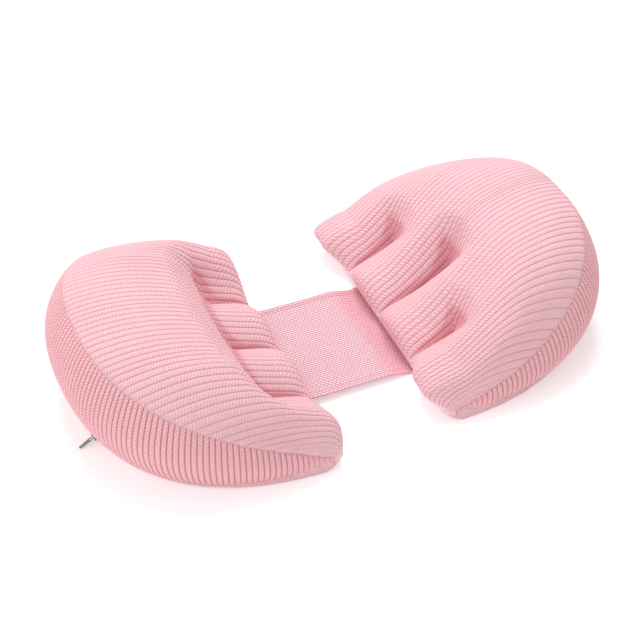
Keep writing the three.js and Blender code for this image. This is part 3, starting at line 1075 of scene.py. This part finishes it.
@dataclass
class LinkPanel:
    """Flat knitted strip between the cushions, with a folded hem along both free edges. In mm."""

    name: str = "panel_cloth"
    width: float = 2.0 * PANEL_HALF
    hem: float = 9.0
    hang: float = 6.2  # height of its level part
    slope: float = 34.0  # length over which it runs down to the belly cushion
    groove: float = 0.7
    stitch_dip: float = 0.7
    side_round: float = 1.5
    ribs: int = 50
    steps: int = 64

    def underside(self, x: Array) -> Array:
        """Return its height: level, raised at the back cushion's seam, and down to the surface."""
        end = HALF_GAP - 2.0
        seam = CushionForm.edge_seam - PANEL_THICK - PANEL_HEM_THICK - 1.0
        sag = (seam - self.hang) * (1.0 - ease(-HALF_GAP, -HALF_GAP + 30.0, x))
        return (self.hang + sag) * (1.0 - ease(end - self.slope, end, x))

    def build(self, materials: list[bpy.types.Material]) -> bpy.types.Object:
        """Make the panel: an upper and a lower sheet that meet along all four sides.

        Args:
            materials: one material.

        Returns:
            The object.
        """
        phase = Cushion.rib_phases(0.0, float(self.ribs))
        y = (phase / self.ribs - 0.5) * self.width
        x = np.linspace(-HALF_GAP + FIT_GAP, HALF_GAP + PANEL_TUCK, self.steps)
        from_edge = self.width / 2.0 - np.abs(y)
        body = PANEL_THICK + PANEL_HEM_THICK * (1.0 - ease(self.hem - 1.0, self.hem + 1.5, from_edge))
        stitch = np.exp(-((from_edge - self.hem + 1.6) / 0.9) ** 2)
        relief = self.groove * Cushion.rib_relief(phase) * ease(0.0, 2.0, from_edge)
        high = (body - self.stitch_dip * stitch - relief)[:, None]
        rounded = quarter(clamp(from_edge / self.side_round))[:, None]
        floor = self.underside(x)[None, :]
        upper = floor + high * (0.5 + 0.5 * rounded)
        lower = floor + high * 0.5 * (1.0 - rounded)
        maker = MeshMaker()
        plan = np.broadcast_to(x[None, :], upper.shape) + FOOTPRINT_SHIFT[0]
        wide = np.broadcast_to(y[:, None], upper.shape) + FOOTPRINT_SHIFT[1]
        rib_map = rib_places(plan, phase)
        # Painted shade where the panel runs in under the belly cushion's edge and, lighter, by the back
        # cushion's seam; with it go the hem's stitch lines
        shade = ease(HALF_GAP - 44.0, HALF_GAP - 10.0, x) + 0.6 * ease(-HALF_GAP + 12.0, -HALF_GAP, x)
        shade_and_stitch = np.maximum(shade[None, :], 0.8 * stitch[:, None])
        upper_ids = maker.add_points(np.stack([plan, wide, upper], axis=-1), rib_map, shade_and_stitch)
        lower_ids = maker.add_points(np.stack([plan, wide, lower], axis=-1), rib_map)
        maker.add_grid(upper_ids, 0, flip=True)
        maker.add_grid(lower_ids, 0)
        for side, flip in ((np.s_[0], True), (np.s_[-1], False), (np.s_[:, 0], False), (np.s_[:, -1], True)):
            maker.add_grid(np.stack([upper_ids[side], lower_ids[side]], axis=1), 0, flip=flip)
        return maker.build(self.name, materials)


# Studio


@dataclass(frozen=True)
class Lamp:
    """Square area light that faces the pillow."""

    name: str
    azimuth: float  # its place, as the camera's
    elevation: float
    distance: float  # metres from the pillow
    size: float  # side of the square, in metres
    power: float  # watts


@dataclass
class Studio:
    """Camera, lights and floor."""

    azimuth: float = -24.32
    elevation: float = 40.06
    distance: float = 1.7844
    lens: float = 82.61
    target: Point = (-0.01507, -0.00335, 0.045)
    sky: float = 0.70
    floor_half: float = 20.0
    floor_drop: float = 0.0005  # keeps it just under the pillow
    lamps: tuple[Lamp, ...] = (Lamp("key", 165.0, 62.0, 2.4, 1.3, 44.0),
                               Lamp("fill", -68.0, 34.0, 2.6, 2.0, 18.0))

    @staticmethod
    def aim(thing: bpy.types.Object, target: Point, azimuth: float, elevation: float,
            distance: float) -> None:
        """Put a camera or light into the scene, turned to its target.

        Args:
            thing: the camera or light.
            target: the point that it faces.
            azimuth: degrees round the pillow, 0 in front of it.
            elevation: degrees over the horizon.
            distance: metres from the target.
        """
        a, e = math.radians(azimuth), math.radians(elevation)
        back = Vector((math.sin(a) * math.cos(e), -math.cos(a) * math.cos(e), math.sin(e)))
        thing.location = Vector(target) + back * distance
        thing.rotation_mode = "QUATERNION"
        thing.rotation_quaternion = (-back).to_track_quat("-Z", "Y")
        bpy.context.collection.objects.link(thing)

    def add_camera(self) -> None:
        """Add the camera at the photograph's angle."""
        data = bpy.data.cameras.new("camera")
        data.lens = self.lens
        data.sensor_width = 36.0
        data.clip_start = 0.05
        camera = bpy.data.objects.new("camera", data)
        self.aim(camera, self.target, self.azimuth, self.elevation, self.distance)
        bpy.context.scene.camera = camera

    def add_lamp(self, lamp: Lamp) -> None:
        """Add one light."""
        data = bpy.data.lights.new(lamp.name, "AREA")
        data.size = lamp.size
        data.energy = lamp.power
        light = bpy.data.objects.new(lamp.name, data)
        self.aim(light, (0.0, 0.0, 0.0), lamp.azimuth, lamp.elevation, lamp.distance)

    def add_floor(self) -> None:
        """Add the floor just under the pillow."""
        half, low = self.floor_half, -self.floor_drop
        corners = [(-half, -half, low), (half, -half, low), (half, half, low), (-half, half, low)]
        mesh = bpy.data.meshes.new("floor")
        mesh.from_pydata(corners, [], [(0, 1, 2, 3)])
        mesh.materials.append(FloorFinish().make())
        floor = bpy.data.objects.new("floor", mesh)
        bpy.context.collection.objects.link(floor)

    def add_world(self) -> None:
        """Light everything evenly from a white sky."""
        world = bpy.data.worlds.new("sky")
        world.use_nodes = True
        backdrop = world.node_tree.nodes["Background"]
        backdrop.inputs["Color"].default_value = (1.0, 1.0, 1.0, 1.0)
        backdrop.inputs["Strength"].default_value = self.sky
        bpy.context.scene.world = world

    def build(self) -> None:
        """Make the studio."""
        bpy.context.scene.view_settings.view_transform = "Standard"
        self.add_camera()
        self.add_world()
        for lamp in self.lamps:
            self.add_lamp(lamp)
        self.add_floor()


BACK_FORM = CushionForm(
    side=Side.BACK, turn=0.0, shift=0.0, gusset=127.4, gusset_power=1.0, gusset_skew=0.117, lobe=28.8,
    lobe_slope=0.34, wing_lobe=1.45, wing_far=102.0, wing_near=122.0, wing_blend=62.0, wing_bulge=8.0,
    front_bulge=6.9, flank_start=0.29, flank_end=0.475, wing_end=0.44, flank_mix=1.0, flank_power=0.9,
    dome=103.0, dome_power=1.365, dome_blend=0.334, dome_skew=-0.047, crown=14.8, crown_power=0.825,
    channels=(65.0, 61.5, 55.6), channel_reach=43.1, channel_end=2.6, corner_far=40.0, corner_near=16.0,
    edge_round=31.0, rim_round=74.0, rim_rise=8.2, rib_turn=0.055)
BELLY_FORM = CushionForm(
    side=Side.BELLY, turn=-1.9, shift=13.0, gusset=130.6, gusset_power=1.5, gusset_skew=0.022, lobe=27.0,
    lobe_slope=0.36, wing_lobe=1.0, wing_far=86.0, wing_near=92.0, wing_blend=53.0, wing_bulge=25.0,
    front_bulge=8.7, flank_start=0.085, flank_end=0.606, wing_end=0.66, flank_mix=0.42, flank_power=0.87,
    dome=86.0, dome_power=1.04, dome_blend=0.844, dome_skew=0.058, crown=22.5, crown_power=0.816,
    channels=(57.6, 94.7, 62.2), channel_reach=44.6, channel_end=1.98, corner_far=34.0, corner_near=12.0,
    edge_round=28.7, rim_round=63.0, rim_rise=10.7, rib_turn=0.125)


def dress_zip() -> None:
    """Give the zip's slider and puller their metal."""
    metal = ZipMetalFinish().make()
    for name in ("zip_slider", "zip_pull"):
        node = bpy.data.objects[name]
        node.data.materials.clear()
        node.data.materials.append(metal)
        report(node)


def report(piece: bpy.types.Object) -> None:
    """Log a finished piece."""
    LOG.info("%s: %d points", piece.name, len(piece.data.vertices))


def main() -> None:
    """Build the pillow's pieces in order, then the studio."""
    logging.basicConfig(level=logging.INFO, format="%(name)s: %(message)s")
    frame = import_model()
    LOG.info("nodes: %s", ", ".join(sorted(frame["nodes"])))
    top_knit = RibKnitFinish("top_rib_knit").make()
    # The gusset's pink is redder and more saturated than the top's paler one, and its groove lines stronger:
    # one knit, tinted apart as painted light on the top and painted shade on the gusset
    gusset_shaded_pink = (0.825, 0.485, 0.512, 1.0)
    gusset_knit = RibKnitFinish("gusset_rib_knit", pale=gusset_shaded_pink, seam=gusset_shaded_pink, line_start=0.66,
                                groove_line_and_shade_share=0.7, stitch_gap_and_shade_share=0.40, relief_mm=0.6).make()
    for name, node, form in (("back_cover", "back_cushion", BACK_FORM),
                             ("belly_cover", "belly_cushion", BELLY_FORM)):
        cover = Cushion(name, form).build([top_knit, gusset_knit, top_knit])
        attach(cover, "root")
        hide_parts(node)
        report(cover)
    panel = LinkPanel().build([PanelKnitFinish().make()])
    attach(panel, "root")
    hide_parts("link_panel")
    report(panel)
    dress_zip()
    Studio().build()


if __name__ == "__main__":
    main()
